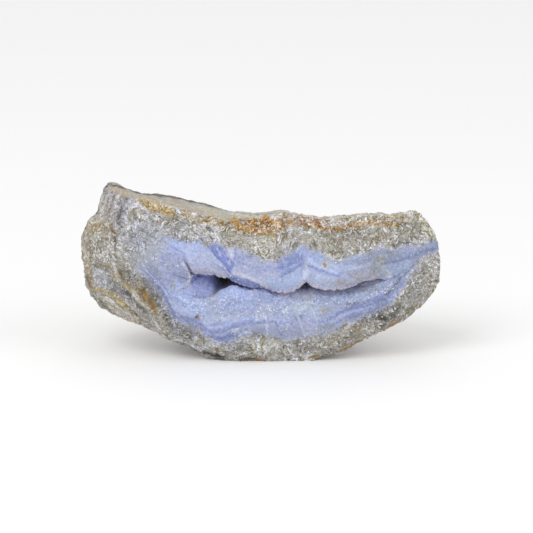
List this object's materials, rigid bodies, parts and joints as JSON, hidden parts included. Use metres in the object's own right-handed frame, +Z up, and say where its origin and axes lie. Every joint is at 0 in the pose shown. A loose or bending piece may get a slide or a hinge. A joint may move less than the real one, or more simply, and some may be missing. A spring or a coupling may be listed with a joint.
{
  "type": "blue agate specimen",
  "caption": "Broken chunk of blue-violet banded chalcedony in a rind of grey sugary quartz, with a slit-like hollow across its face, resting on its worn belly.",
  "frame": {"origin": "on the surface the stone rests on, under the middle of its box", "axes": "+X to the right along its length, +Y to the back, away from the broken face with the hollow, +Z up"},
  "size_m": [0.1, 0.0358, 0.0475],
  "materials": {
    "agate": "broken and weathered: waxy blue chalcedony, sugary grey quartz, iron-stained rind"
  },
  "bodies": {
    "root": {"agate_chunk": "agate"}
  },
  "joints": []
}
